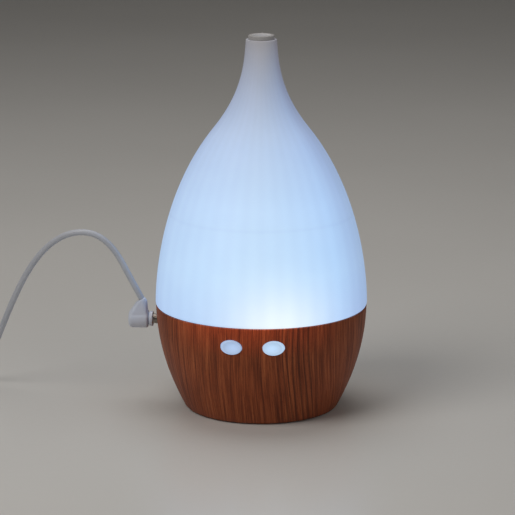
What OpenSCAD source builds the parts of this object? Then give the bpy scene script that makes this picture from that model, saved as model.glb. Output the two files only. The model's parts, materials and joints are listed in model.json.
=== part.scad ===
// Cool mist humidifier: a translucent bottle-shaped cover on a wood-look base that holds the water
// tank, the ultrasonic disc, the fan and the lamp, with its low-voltage lead and wall adapter.
// Millimetres. Z is up, z = 0 is the surface it stands on, the buttons face -Y, the socket faces -X.

/* [Base] */
// Radius of the base at its rim
rim_r = 59.7; // [59.4:0.1:59.8]
// Height of the base's rim
rim_z = 59; // [58.8:0.1:59.1]
// Height at which the curved side of the base would stand upright
upright_z = 61; // [60:0.5:63]
// How fast the side draws in below that height, per millimetre squared
draw_in = 0.0045; // [0.0043:0.0001:0.0046]
// Wall thickness of the base
base_wall = 2; // [1.8:0.1:2.1]
// Radius of the rounded bottom edge
edge_r = 2.75; // [1.5:0.25:3]
// Height of the bottom edge above the surface
edge_z = 0.3; // [0.2:0.1:0.8]

/* [Cover] */
// Largest radius of the cover
cover_r = 59.9; // [59.7:0.1:61]
// Height at which the cover is widest
cover_wide_z = 61; // [60:0.5:63]
// Wall thickness of the cover
cover_wall = 1.8; // [1.5:0.1:1.9]
// Gap between the cover's lower edge and the base's rim
cover_gap = 0.15; // [0.1:0.05:0.3]
// Radius where the outline turns from bulging to hollow
turn_r = 26.9; // [26:0.1:28]
// Height of that turning point
turn_z = 160; // [158:0.5:162]
// Millimetres that the outline draws in per millimetre of height there
turn_slope = 0.8; // [0.75:0.01:0.85]
// Radius of the neck at its shoulder
neck_r = 8.65; // [8.5:0.05:9]
// Height of the neck's shoulder
neck_z = 210.2; // [208:0.2:212]
// Height of the inside step where the thicker lower wall ends
step_z = 112; // [108:1:116]

/* [Spout] */
// Outside radius of the spout ring above the shoulder
spout_r = 7.3; // [7:0.1:7.6]
// Height of the spout ring above the shoulder
spout_rise = 2.4; // [2:0.1:3.2]
// Radius of the mist outlet
outlet_r = 5; // [4.6:0.1:5.2]

/* [Tank] */
// Inside radius of the water tank at its mouth
tank_r = 43; // [42.5:0.1:43.2]
// Height of the tank's floor
tank_floor_z = 24; // [23.8:0.1:24.4]
// Height of the fill line
fill_z = 50; // [46:0.5:51]
// Thickness of the tank's walls
tank_wall = 2; // [1.8:0.1:2]

/* [Buttons] */
// Width of a button
button_w = 11.8; // [11.5:0.1:12.5]
// Height of a button
button_h = 8.2; // [8:0.1:9]
// Height of the buttons' centres
button_z = 48.2; // [48:0.1:49]
// Distance of each button's centre from the middle
button_x = 11.7; // [11.5:0.1:12]
// How far the buttons stand out from the base
button_rise = 0.8; // [0.5:0.1:1]

/* [Fan] */
// Side of the square fan
fan_side = 30; // [29:0.5:30]
// Number of blades
blades = 7; // [5:1:9]

/* [Lead] */
// Diameter of the low-voltage cord
cord_d = 3.5; // [3.3:0.1:3.6]
// Outside diameter of the barrel plug
barrel_d = 5.5; // [5.4:0.1:5.5]
// Diameter of the plug's body
plug_d = 10.6; // [10:0.1:11]
// Diameter across the middle of the stored coil's turns
coil_d = 40; // [38:1:42]

/* [Hidden] */
$fn = 64;
eps = 0.01;
white = [0.93, 0.94, 0.95];
steel = [0.72, 0.73, 0.75];
board_green = [0.12, 0.36, 0.2];

// Outline of the cover, from its lower edge to the neck
cover_z = rim_z + cover_gap;
edge_in = 1.5;
bulge_pull = 8;
bulge_lead = 39.5;
hollow_lead = 20.5;
neck_lead = 13.5;
neck_flare = 0.07;
spout_top = neck_z + spout_rise;
spout_deep = 14;
spout_body_r = spout_r - 0.5;
spout_fit = 0.05;
step_in = 0.4;

// Heights inside the base
cover_plate_z = [1, 3];
shell_opening_r = 40.6;
lip_r = 38.8;
lip_z = [3.05, 4.3];
ledge_r = 55.2;
ledge_z = 55.8;
flange_z = [56.6, 58.6];
flange_r = 57.2;
post_r = 3;
post_spots = [[34.5, 8], [-34.5, 8], [30.5, -18], [-30.5, -18]];
feet_r = 4.5;
feet_spots = [for (x = [-24, 24], y = [-24, 24]) [x, y]];
air_tube = [0, 30];
air_tube_r = 5;
screw_hold = 0.05;
base_screw_r = 1.4;
retainer_screw_r = 0.95;
board_screw_r = 1;
fan_screw_r = 1.1;
panel_screw_r = 0.9;

// Ultrasonic disc under the middle of the tank
disc_r = 10;
disc_z = [20.1, 20.9];
tank_under_z = 21.5;
retainer_z = 17.3;
ear_spots = [for (a = [30, 150, 270]) 15.5 * [cos(a), sin(a)]];

// Main board
board_size = [50, 28];
board_mid = [0, -18];
board_z = [6, 7.4];
board_hole_spots = [for (x = [-21, 21], y = [-27, -9]) [x, y]];
socket_x = [-12, 0, 12];
socket_y = -7;
socket_h = 5;
wire_gap = 0.05;
socket_top = board_z[1] + socket_h + wire_gap;

// Fan
fan_mid = [0, 22.5];
fan_z = [4.5, 11.5];
fan_hole = 11.8;
fan_bore_r = 13.7;
hub_r = 6.9;
shaft_r = 0.75;

// Button board, its switches and the lamp above it
board_y = [-47.5, -46.3];
switch_side = 6;
switch_y = -50.5;
plunger_r = 1.7;
flange_y = [-52.2, -51.2];
panel_screw_x = 17.2;
panel_screw_z = 48;
lamp_angles = [0, 18];
lamp_mid = 9;
led_board_z = [55.4, 56.4];

// Socket and plug, on an axis along X at this height
jack_z = 48.7;
jack_half = 4.5;
jack_front_r = 4;
jack_bore_r = barrel_d / 2 + 0.1;
jack_face_x = -58.6;
jack_back_x = -46.2;
collar_r = 4.35;
insulator_r = 2.1;
collar_x = [-63.9, -61.9];
plug_x = [-75.8, -64.6];

// Route of the cord: up out of the plug, over, and down to the surface at the coil
coil_mid = [-200, 30];
coil_z = 0.6;
coil_grid = [4, 3];
cord_route = [[-68.1, 0, 59.6], [-70.9, 0, 65], [-73.5, 0, 69.8], [-76.6, 0, 75.7],
    [-79.7, 0, 81.6], [-82.9, 0, 86.8], [-86.5, 0, 91.3], [-91, 0, 95.1], [-96.6, 0, 97.7],
    [-104, 0.6, 98.2], [-112, 2, 96], [-120, 3.8, 91], [-127.5, 6, 83.6], [-134.5, 8.6, 74],
    [-141, 11.6, 62.5], [-147, 14.8, 50], [-152.5, 18.2, 37.5], [-157.5, 22, 26], [-162.5, 26.4, 15.8],
    [-167.5, 31.2, 7.6], [-172.4, 36.4, 3], [-176.7, 41.4, 1.8], [-180.7, 46.2, 1.8]];
tail_route = [[-225.2, 30, 8.8], [-225.2, 27, 8.9], [-225.2, 24, 9.2], [-225.2, 21, 9.6],
    [-225.2, 18.5, 9.9], [-225.2, 16, 10], [-225.2, 12, 10], [-225.2, 7, 10]];

// Wall adapter, lying beside the coil with its pins towards -Y
adapter_x = -225.2;
adapter_size = [36, 44, 27];
adapter_back_y = 4;
adapter_z = adapter_size[2] / 2;
relief_z = 10;
relief_root_r = 2.6;
pin_gap = 19;
pin_r = 2;
pin_core_r = 1.5;
pin_len = 19;
sleeve_len = 10;
face_t = 2;
adapter_front_y = adapter_back_y - adapter_size[1];
pin_root_y = adapter_front_y - face_t;

function bezier(a, b, c, d, t) =
    (1 - t)^3 * a + 3 * t * (1 - t)^2 * b + 3 * t^2 * (1 - t) * c + t^3 * d;
function curve(a, b, c, d, n) = [for (i = [0:n]) bezier(a, b, c, d, i / n)];
function arc(mid, r, from, to, n) =
    [for (i = [0:n]) let (a = from + (to - from) * i / n) mid + r * [cos(a), sin(a)]];
function backwards(list) = [for (i = [len(list) - 1:-1:0]) list[i]];
function oval(w, h) = [for (a = [0:10:350]) [w / 2 * cos(a), h / 2 * sin(a)]];

// Base: the side is a parabola that runs into a rounded bottom edge
rim_bevel = 0.4;
function base_r(z) = rim_r - draw_in * (upright_z - z)^2;
edge_tilt = atan(2 * draw_in * (upright_z - edge_z - edge_r / 2));
side_z = edge_z + edge_r * (1 - sin(edge_tilt));
edge_mid = [base_r(side_z) - edge_r * cos(edge_tilt), edge_z + edge_r];
function base_side(from, to, inset, n) =
    [for (i = [0:n]) let (z = from + (to - from) * i / n) [base_r(z) - inset, z]];
base_outside = concat(arc(edge_mid, edge_r, -90, -edge_tilt, 5),
    base_side(side_z, rim_z - rim_bevel, 0, 24), [[base_r(rim_z) - rim_bevel, rim_z]]);

// Cover: two curves that meet where the outline stops bulging and turns hollow
function cover_line(inset) = let (
    bottom = [cover_r - inset, cover_wide_z],
    turn = [turn_r - inset, turn_z],
    top = [neck_r - inset, neck_z])
    concat(
        curve(bottom, bottom + [0, bulge_pull], turn + [turn_slope, -1] * bulge_lead, turn, 28),
        [for (i = [1:20]) bezier(turn, turn + [-turn_slope, 1] * hollow_lead,
            top + [neck_flare, -1] * neck_lead, top, i / 20)]);
function cover_edge(inset) =
    [for (a = [0:15:75]) [cover_r - inset - edge_in * (1 - sin(a)),
        cover_wide_z - (cover_wide_z - cover_z) * cos(a)]];

// Swept tube: rings along a route, each turned to face along it
function unit(v) = v / norm(v);
function heading(p, i) = unit(p[min(i + 1, len(p) - 1)] - p[max(i - 1, 0)]);
function spline_at(p, i, t) = let (
    a = p[max(i - 1, 0)], b = p[i], c = p[i + 1], d = p[min(i + 2, len(p) - 1)])
    0.5 * ((2 * b) + (c - a) * t + (2 * a - 5 * b + 4 * c - d) * t^2
        + (3 * b - a - 3 * c + d) * t^3);
function smooth_route(p, steps) = concat(
    [for (i = [0:len(p) - 2], s = [0:steps - 1]) spline_at(p, i, s / steps)],
    [p[len(p) - 1]]);
function ring_points(mid, along, r, sides) = let (
    side = unit(cross(along, abs(along[1]) < 0.9 ? [0, 1, 0] : [1, 0, 0])),
    up = cross(side, along))
    [for (k = [0:sides - 1]) mid + r * (cos(360 * k / sides) * side + sin(360 * k / sides) * up)];

module swept_tube(route, r, sides = 8) {
    rings = len(route);
    points = [for (i = [0:rings - 1]) each ring_points(route[i], heading(route, i), r, sides)];
    walls = [for (i = [0:rings - 2], k = [0:sides - 1]) let (
        a = i * sides + k, b = i * sides + (k + 1) % sides)
        each [[a, b, b + sides], [a, b + sides, a + sides]]];
    ends = [[for (k = [sides - 1:-1:0]) k], [for (k = [0:sides - 1]) (rings - 1) * sides + k]];
    polyhedron(points, concat(walls, ends));
}

module ring(outer, inner, z) {
    translate([0, 0, z[0]]) difference() {
        cylinder(r = outer, h = z[1] - z[0]);
        translate([0, 0, -1]) cylinder(r = inner, h = z[1] - z[0] + 2);
    }
}

module block(low, high) {
    translate(low) cube(high - low);
}

// A rod along X between two places
module rod_x(r, x) {
    translate([x[0], 0, 0]) rotate([0, 90, 0]) cylinder(r = r, h = x[1] - x[0]);
}

// A rod along Y between two places
module rod_y(r, y) {
    translate([0, y[1], 0]) rotate([90, 0, 0]) cylinder(r = r, h = y[1] - y[0]);
}

// An oval prism along Y between two places
module oval_y(w, h, y) {
    translate([0, y[1], 0]) rotate([90, 0, 0]) linear_extrude(y[1] - y[0]) polygon(oval(w, h));
}

// Part of a ring about Z, its angles counted from the front towards +X
module sector(r, z, angles) {
    rotate([0, 0, angles[0] - 90]) rotate_extrude(angle = angles[1] - angles[0])
        translate([r[0], z[0]]) square([r[1] - r[0], z[1] - z[0]]);
}

// A screw with its head at the given height, pointing down
module screw(head_r, head_z, shank_r, tip_z) {
    translate([0, 0, head_z[0]]) cylinder(r = head_r, h = head_z[1] - head_z[0]);
    translate([0, 0, tip_z]) cylinder(r = shank_r, h = head_z[0] - tip_z + eps);
}

module outer_cover() {
    outside = concat(cover_edge(0), cover_line(0));
    inside = concat([[cover_r - edge_in - cover_wall, cover_z]],
        [for (p = cover_line(cover_wall)) if (p[1] < step_z) p],
        [for (p = cover_line(cover_wall - step_in)) if (p[1] > step_z && p[1] < neck_z - spout_deep) p],
        [[spout_body_r + spout_fit, neck_z - spout_deep], [spout_body_r + spout_fit, neck_z]]);
    color(white, 0.6) rotate_extrude() polygon(concat(outside, backwards(inside)));
}

module mist_spout() {
    nib_r = 0.6;
    bevel = 0.6;
    color(white) {
        rotate_extrude() polygon([[outlet_r, neck_z - spout_deep],
            [spout_body_r, neck_z - spout_deep], [spout_body_r, neck_z + eps],
            [spout_r, neck_z + eps], [spout_r, spout_top - bevel], [spout_r - bevel, spout_top],
            [outlet_r, spout_top]]);
        translate([0, (outlet_r + spout_r) / 2, spout_top - 1]) cylinder(r = nib_r, h = 1.4);
    }
}

module inner_cover() {
    wall = 1.6;
    spigot_r = tank_r - 0.4;
    spigot_z = 54.5;
    rest_z = flange_z[1] + 0.1;
    foot_r = 46.4;
    foot_z = 60.2;
    dome_r = 44.5;
    chimney_r = 11.6;
    chimney_z = [86, 118];
    taper = 1;
    outside = concat([[spigot_r - wall, spigot_z], [spigot_r, spigot_z], [spigot_r, rest_z],
        [foot_r, rest_z], [foot_r, foot_z]],
        curve([dome_r, foot_z], [dome_r, 72], [15, 70], [chimney_r, chimney_z[0]], 16),
        [[chimney_r - taper, chimney_z[1]]]);
    inside = concat([[chimney_r - taper - wall, chimney_z[1]]],
        curve([chimney_r - wall, chimney_z[0] - 0.5], [13.6, 68.4], [spigot_r - wall, 70],
            [spigot_r - wall, foot_z], 16));
    color(white) rotate_extrude() polygon(concat(outside, inside));
}

module base_shell() {
    hole_clear = 0.25;
    inside = concat(base_side(rim_z, ledge_z, base_wall, 2),
        [[ledge_r, ledge_z], [ledge_r, ledge_z - 1]],
        base_side(ledge_z - 3, lip_z[1], base_wall, 18),
        [[lip_r, lip_z[1]], [lip_r, lip_z[0]], [shell_opening_r, lip_z[0]],
            [shell_opening_r, edge_z]]);
    color([0.5, 0.28, 0.18]) difference() {
        rotate_extrude($fn = 96) polygon(concat(base_outside, inside));
        translate([0, 0, jack_z]) rod_x(jack_front_r + 0.1, [-70, -50]);
        for (side = [-1, 1]) translate([side * button_x, 0, button_z])
            oval_y(button_w + 2 * hole_clear, button_h + 2 * hole_clear, [-70, -45]);
    }
}

module water_tank() {
    guard_r = [53.8, 55.6];
    guard_z = 62.4;
    disc_hole_r = 8;
    outside = [[0, tank_under_z], [37, tank_under_z], [40.5, 26], [tank_r + tank_wall, 40],
        [tank_r + tank_wall, flange_z[0]], [flange_r, flange_z[0]], [flange_r, flange_z[1]],
        [0, flange_z[1]]];
    hollow = [[0, 23], [12, 23], [14, tank_floor_z], [36, tank_floor_z + 0.5], [38.5, 28],
        [tank_r, 40], [tank_r, fill_z - 0.6], [tank_r - 0.4, fill_z - 0.3],
        [tank_r - 0.4, fill_z + 0.1], [tank_r, fill_z + 0.4], [tank_r, 70], [0, 70]];
    color(white) {
        difference() {
            union() {
                rotate_extrude($fn = 96) polygon(outside);
                ring(guard_r[1], guard_r[0], [flange_z[1] - 0.5, guard_z]);
                for (p = post_spots) translate([p[0], p[1], cover_plate_z[1] + 0.1])
                    cylinder(r = post_r, h = tank_under_z - cover_plate_z[1] + 2.2);
                for (side = [-1, 1]) block([side * panel_screw_x - 3, board_y[1], 45],
                    [side * panel_screw_x + 3, -38, 51]);
            }
            rotate_extrude($fn = 96) polygon(hollow);
            translate([0, 0, 15]) cylinder(r = disc_hole_r, h = 10);
            for (p = post_spots) translate([p[0], p[1], 0]) cylinder(r = base_screw_r + screw_hold, h = 12);
            for (p = ear_spots) translate([p[0], p[1], 20])
                cylinder(r = retainer_screw_r + screw_hold, h = 3.4);
            for (side = [-1, 1]) translate([side * panel_screw_x, 0, panel_screw_z])
                rod_y(panel_screw_r + screw_hold, [-50, -43.4]);
            sector([47.5, 52.5], [50, 65], lamp_angles);
            translate([air_tube[0], air_tube[1], 15]) cylinder(r = air_tube_r, h = 20);
        }
        translate([air_tube[0], air_tube[1], 0]) ring(air_tube_r + 1.5, air_tube_r, [tank_under_z, 57.5]);
    }
}

module tank_seal() {
    color("dimgray") ring(57.1, 55.4, [ledge_z, flange_z[0]]);
}

module led_lens() {
    color("white", 0.5) sector([47.6, 52.4], [57.9, 58.5], lamp_angles + [0.15, -0.15]);
}

module transducer_disc() {
    color("gold") translate([0, 0, disc_z[0]]) cylinder(r = disc_r, h = disc_z[1] - disc_z[0]);
}

module transducer_gasket() {
    outer = 12;
    low = retainer_z + 1.6;
    color("gray") rotate_extrude() polygon([[7.6, tank_under_z], [outer, tank_under_z],
        [outer, low], [8, low], [8, disc_z[0]], [disc_r + 0.05, disc_z[0]],
        [disc_r + 0.05, disc_z[1]], [7.6, disc_z[1]]]);
}

module transducer_retainer() {
    color(steel) difference() {
        union() {
            translate([0, 0, retainer_z]) cylinder(r = 13, h = 1.6);
            for (p = ear_spots) translate([p[0], p[1], retainer_z])
                cylinder(r = 2.6, h = tank_under_z - retainer_z);
        }
        translate([0, 0, retainer_z - 1]) cylinder(r = 7, h = 5);
        translate([0, 0, retainer_z + 1.6]) cylinder(r = 12.05, h = 5);
        for (p = ear_spots) translate([p[0], p[1], retainer_z - 1])
            cylinder(r = retainer_screw_r + screw_hold, h = 8);
    }
}

module retainer_screws() {
    color(steel) for (p = ear_spots) translate([p[0], p[1], 0]) mirror([0, 0, 1])
        screw(2, [-retainer_z, -retainer_z + 1.4], retainer_screw_r, -23.2);
}

module main_board() {
    low = [board_mid[0] - board_size[0] / 2, board_mid[1] - board_size[1] / 2, board_z[0]];
    high = [board_mid[0] + board_size[0] / 2, board_mid[1] + board_size[1] / 2, board_z[1]];
    color(board_green) difference() {
        block(low, high);
        for (p = board_hole_spots) translate([p[0], p[1], 5]) cylinder(r = 1.2, h = 4);
    }
}

module board_capacitor() {
    color("darkslateblue") translate([-14, -24, board_z[1]]) cylinder(r = 4, h = 8);
}

module board_coil() {
    color("saddlebrown") translate([-4, -27, board_z[1]]) {
        cylinder(r = 4, h = 1);
        cylinder(r = 3.2, h = 6);
        translate([0, 0, 6]) cylinder(r = 4, h = 1);
    }
}

module board_transistor() {
    color("dimgray") block([5, -25.9, board_z[1]], [15, -23, board_z[1] + 7.5]);
}

module heat_sink() {
    fins = 5;
    fin_t = 0.8;
    x = [3, 17];
    z = [board_z[1], board_z[1] + 8];
    color("silver") {
        block([x[0], -27.4, z[0]], [x[1], -26, z[1]]);
        for (k = [0:fins - 1]) translate([x[0] + k * (x[1] - x[0] - fin_t) / (fins - 1), 0, 0])
            block([0, -30.6, z[0]], [fin_t, -27.3, z[1]]);
    }
}

module board_chip() {
    color("black") block([-3, -20, board_z[1]], [5, -15, board_z[1] + 1.4]);
}

module board_sockets() {
    color("ivory") for (x = socket_x)
        block([x - 3, socket_y - 2, board_z[1]], [x + 3, socket_y + 2, board_z[1] + socket_h]);
}

module board_screws() {
    color(steel) for (p = board_hole_spots) translate([p[0], p[1], 0])
        screw(1.9, [board_z[1], board_z[1] + 1.2], board_screw_r, 3.6);
}

module led_board() {
    color(board_green) sector([46.4, 53.8], led_board_z, lamp_angles + [-2, 2]);
}

module leds() {
    color("white") for (a = [4, lamp_mid, 14]) rotate([0, 0, a]) {
        block([-1.2, -51.2, led_board_z[1]], [1.2, -48.8, led_board_z[1] + 0.8]);
        translate([0, -50, led_board_z[1] + 0.8]) cylinder(r = 1, h = 0.5);
    }
}

module fan_frame() {
    strut = 1.6;
    plate_z = fan_z[0] + 1;
    color([0.15, 0.15, 0.16]) translate([fan_mid[0], fan_mid[1], 0]) {
        difference() {
            intersection() {
                block([-fan_side / 2, -fan_side / 2, fan_z[0]], [fan_side / 2, fan_side / 2, fan_z[1]]);
                translate([0, 0, fan_z[0]]) cylinder(r = fan_side * 0.66, h = fan_z[1] - fan_z[0]);
            }
            translate([0, 0, fan_z[0] - 1]) cylinder(r = fan_bore_r, h = 20);
            for (x = [-1, 1], y = [-1, 1]) translate([x * fan_hole, y * fan_hole, fan_z[0] - 1])
                cylinder(r = 1.3, h = 20);
        }
        difference() {
            union() {
                translate([0, 0, fan_z[0]]) cylinder(r = 6, h = 1);
                translate([0, 0, fan_z[0]]) cylinder(r = 2.4, h = 5);
                for (a = [90, 210, 330]) rotate([0, 0, a])
                    block([0, -strut / 2, fan_z[0]], [fan_bore_r + 0.5, strut / 2, plate_z]);
            }
            translate([0, 0, plate_z]) cylinder(r = 1.6, h = 10);
        }
    }
}

module fan_bearing() {
    color("goldenrod") translate([fan_mid[0], fan_mid[1], 0])
        ring(1.6, shaft_r + 0.05, [fan_z[0] + 1, fan_z[0] + 4.8]);
}

module fan_stator() {
    color("peru") translate([fan_mid[0], fan_mid[1], 0])
        ring(5.4, 2.4, [fan_z[0] + 1.3, fan_z[0] + 4.7]);
}

module fan_rotor() {
    blade_tilt = 38;
    cup_z = [fan_z[0] + 1.4, fan_z[1] - 0.5];
    color([0.2, 0.2, 0.22]) translate([fan_mid[0], fan_mid[1], 0]) {
        difference() {
            translate([0, 0, cup_z[0]]) cylinder(r = hub_r, h = cup_z[1] - cup_z[0]);
            translate([0, 0, cup_z[0] - 1]) cylinder(r = hub_r - 0.8, h = cup_z[1] - cup_z[0] + 0.1);
        }
        translate([0, 0, fan_z[0] + 1.1]) cylinder(r = shaft_r, h = cup_z[1] - fan_z[0] - 1.5);
        intersection() {
            ring(fan_bore_r - 0.4, hub_r - 0.3, [cup_z[0] + 0.3, cup_z[1] - 0.2]);
            for (k = [0:blades - 1]) rotate([0, 0, 360 * k / blades])
                translate([hub_r + 3, 0, (cup_z[0] + cup_z[1]) / 2]) rotate([blade_tilt, 0, 0])
                    cube([8.5, 8, 0.8], center = true);
        }
    }
}

module fan_screws() {
    color(steel) for (side = [-1, 1])
        translate([fan_mid[0] + side * fan_hole, fan_mid[1] - side * fan_hole, 0])
            screw(1.9, [fan_z[1], fan_z[1] + 1.2], fan_screw_r, 1.6);
}

module fan_duct() {
    duct_z = [fan_z[1] + 0.1, 13.2];
    top_z = 20.6;
    wall = 1.2;
    nose_r = air_tube_r - 0.15;
    color([0.85, 0.86, 0.87]) difference() {
        union() {
            hull() {
                translate([fan_mid[0] - fan_side / 2, fan_mid[1] - fan_side / 2, duct_z[0]])
                    cube([fan_side, fan_side, duct_z[1] - duct_z[0]]);
                translate([air_tube[0], air_tube[1], top_z - 0.6])
                    cylinder(r = air_tube_r + 1, h = 0.6, $fn = 32);
            }
            translate([air_tube[0], air_tube[1], top_z - 1]) cylinder(r = nose_r, h = 5);
        }
        hull() {
            translate([fan_mid[0] - fan_side / 2 + wall, fan_mid[1] - fan_side / 2 + wall, duct_z[0] - 1])
                cube([fan_side - 2 * wall, fan_side - 2 * wall, duct_z[1] - duct_z[0] + 1]);
            translate([air_tube[0], air_tube[1], top_z - 1.2])
                cylinder(r = nose_r - 1, h = 0.2, $fn = 32);
        }
        translate([air_tube[0], air_tube[1], top_z - 2]) cylinder(r = nose_r - 1, h = 8);
    }
}

module dc_jack() {
    body_x = -54.6;
    color("black") translate([0, 0, jack_z]) difference() {
        union() {
            block([body_x, -jack_half, -jack_half], [jack_back_x, jack_half, jack_half]);
            rod_x(jack_front_r, [jack_face_x, body_x + 1]);
        }
        rod_x(jack_bore_r, [jack_face_x - 1, jack_back_x - 1.4]);
        rod_x(1, [-50, jack_back_x - 1]);
    }
}

module dc_jack_pin() {
    color(steel) translate([0, 0, jack_z]) rod_x(1, [jack_face_x + 1, jack_back_x - 1]);
}

module button(side) {
    lip = 1.5;
    color([0.85, 0.9, 0.97]) {
        intersection() {
            translate([side * button_x, 0, button_z]) oval_y(button_w, button_h, [-70, flange_y[1]]);
            rotate_extrude($fn = 96) polygon(concat([[20, 35]],
                base_side(35, rim_z, -button_rise, 24), [[20, rim_z]]));
        }
        translate([side * button_x, 0, button_z])
            oval_y(button_w + 2 * lip, button_h + 2 * lip, flange_y);
    }
}

module light_button() {
    button(-1);
}

module mist_button() {
    button(1);
}

module plunger(side) {
    color("black") translate([side * button_x, 0, button_z])
        rod_y(plunger_r, [flange_y[1] + 0.1, switch_y + 0.5]);
}

module light_plunger() {
    plunger(-1);
}

module mist_plunger() {
    plunger(1);
}

module button_board() {
    half = panel_screw_x + 3.2;
    color(board_green) difference() {
        block([-half, board_y[0], 42.5], [half, board_y[1], 53.5]);
        for (side = [-1, 1]) translate([side * panel_screw_x, 0, panel_screw_z])
            rod_y(1.1, [-50, -40]);
    }
}

module button_switches() {
    half = switch_side / 2;
    color([0.75, 0.76, 0.78]) for (side = [-1, 1]) translate([side * button_x, 0, button_z])
        difference() {
            block([-half, switch_y, -half], [half, board_y[0], half]);
            rod_y(plunger_r + 0.05, [switch_y - 1, switch_y + 1.2]);
        }
}

module button_board_screws() {
    color(steel) for (side = [-1, 1]) translate([side * panel_screw_x, 0, panel_screw_z]) {
        rod_y(1.6, [board_y[0] - 1, board_y[0]]);
        rod_y(panel_screw_r, [board_y[0] - 0.5, -43.6]);
    }
}

module bottom_cover() {
    grille_r = 12.5;
    slot = 1.8;
    pitch = 3.6;
    color([0.42, 0.24, 0.16]) difference() {
        union() {
            translate([0, 0, cover_plate_z[0]])
                cylinder(r = shell_opening_r - 0.2, h = cover_plate_z[1] - cover_plate_z[0], $fn = 96);
            for (p = board_hole_spots) translate([p[0], p[1], cover_plate_z[1] - 0.5])
                cylinder(r = 2.4, h = board_z[0] - cover_plate_z[1] + 0.5);
            for (x = [-1, 1], y = [-1, 1])
                translate([fan_mid[0] + x * fan_hole, fan_mid[1] + y * fan_hole, cover_plate_z[1] - 0.5])
                    cylinder(r = 1.9, h = fan_z[0] - cover_plate_z[1] + 0.5);
        }
        for (p = feet_spots) translate([p[0], p[1], cover_plate_z[0] - 1])
            cylinder(r = feet_r + 0.1, h = 1.6);
        for (p = post_spots) translate([p[0], p[1], cover_plate_z[0] - 1]) {
            cylinder(r = 1.6, h = 5);
            cylinder(r = 3, h = 2);
        }
        for (p = board_hole_spots) translate([p[0], p[1], 3.4])
            cylinder(r = board_screw_r + screw_hold, h = 4);
        for (side = [-1, 1])
            translate([fan_mid[0] + side * fan_hole, fan_mid[1] - side * fan_hole, 1.5])
                cylinder(r = fan_screw_r + screw_hold, h = 4);
        for (k = [-3:3]) let (half = sqrt(grille_r^2 - (k * pitch)^2))
            block([fan_mid[0] - half, fan_mid[1] + k * pitch - slot / 2, 0],
                [fan_mid[0] + half, fan_mid[1] + k * pitch + slot / 2, 5]);
    }
}

module base_screws() {
    color(steel) for (p = post_spots) translate([p[0], p[1], 0]) mirror([0, 0, 1])
        screw(2.8, [-2, -1.1], base_screw_r, -11);
}

module rubber_feet() {
    color([0.2, 0.2, 0.2]) for (p = feet_spots) translate([p[0], p[1], 0])
        cylinder(r = feet_r, h = cover_plate_z[0] + 0.6);
}

// Two wires side by side, apart by the given offset
module wire_pair(route, apart) {
    for (side = [-1, 1]) swept_tube(smooth_route([for (p = route) p + side * apart], 2), 0.6, 8);
}

module jack_leads() {
    color("firebrick") wire_pair([[-50, 0, jack_z - jack_half - wire_gap], [-50, 0, 40],
        [-48.5, 0, 32], [-45, -1, 23], [-39, -3, 16], [-31, -5, 13], [-22, -6.4, 14.6],
        [-15, -7, 15.8], [-12.6, -7, 15.2], [-12, -7, 14.2], [-12, -7, 13.3],
        [-12, -7, socket_top]], [0, 1.2, 0]);
}

module transducer_leads() {
    color("royalblue") wire_pair([[0, 0, disc_z[0] - wire_gap], [0, 0, 19.3], [0, 0, 18.6],
        [0, -1, 16.8], [0, -3.6, 15.4], [0, -6.2, 15], [0, -7, 14.2], [0, -7, 13.3],
        [0, -7, socket_top]], [1.2, 0, 0]);
}

module fan_leads() {
    color("gold") wire_pair([[10, fan_mid[1] - fan_side / 2 - wire_gap, 7.5], [10, 6.6, 7.5],
        [10, 5.4, 7.8], [10.4, 3.4, 9.6], [11, 0.6, 12.8], [11.6, -3.4, 15.2], [12, -6.2, 15.2],
        [12, -7, 14.2], [12, -7, 13.3], [12, -7, socket_top]], [1, 0, 0]);
}

module panel_leads() {
    color("gray") {
        wire_pair([[2, board_y[0] - wire_gap, 44], [2, -48.1, 44], [2, -48.7, 43.9],
            [2, -49.3, 42.6], [2, -49.5, 38], [1.6, -48, 28], [1.2, -43, 18], [0.8, -36, 12.4],
            [0.6, -32, 11], [0.6, -31, 9.6], [0.6, -31, 8.6], [0.6, -31, board_z[1] + wire_gap]],
            [0.8, 0, 0]);
        wire_pair([[8, -49, led_board_z[0] - wire_gap], [8, -49, 54.8], [8, -49.1, 54.1],
            [7, -49, 52.8], [6, -48.6, 51.9], [6, -48.1, 51.6], [6, board_y[0] - wire_gap, 51.6]],
            [0.8, 0, 0]);
    }
}

module dc_plug_body() {
    end_r = 2.2;
    core_r = 3.3;
    stem_top = [-67.9, 0, 57.6];
    stem_tilt = -27;
    stem_r = 3;
    stem_h = 2.4;
    color(white) {
        difference() {
            translate([0, 0, jack_z]) rotate([0, 90, 0]) rotate_extrude() polygon(concat(
                [[0, plug_x[0]]],
                arc([plug_d / 2 - end_r, plug_x[0] + end_r], end_r, -90, 0, 6),
                [[plug_d / 2, plug_x[1]], [core_r, plug_x[1]], [core_r, collar_x[0]],
                    [0, collar_x[0]]]));
            translate([0, 0, jack_z]) rod_x(barrel_d / 2, [-67, -60]);
        }
        difference() {
            hull() {
                translate([0, 0, jack_z])
                    rod_x(plug_d / 2 - 0.4, [plug_x[0] + 0.9, plug_x[1] - 0.6], $fn = 32);
                translate(stem_top) rotate([0, stem_tilt, 0]) cylinder(r = stem_r, h = stem_h, $fn = 32);
            }
            translate([0, 0, jack_z]) rod_x(plug_d / 2 - 1, [-80, -50]);
        }
    }
}

module dc_plug_collar() {
    color(white) translate([0, 0, jack_z]) difference() {
        rod_x(collar_r, collar_x);
        rod_x(barrel_d / 2, [-70, -50]);
    }
}

module dc_plug_barrel() {
    color(steel) translate([0, 0, jack_z]) difference() {
        rod_x(barrel_d / 2, [-67, -50.1]);
        rod_x(insulator_r, [-66, -40]);
    }
}

module dc_plug_insulator() {
    color("black") translate([0, 0, jack_z]) difference() {
        rod_x(insulator_r, [-66, -50.3]);
        rod_x(1.2, [-65, -40]);
    }
}

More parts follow.
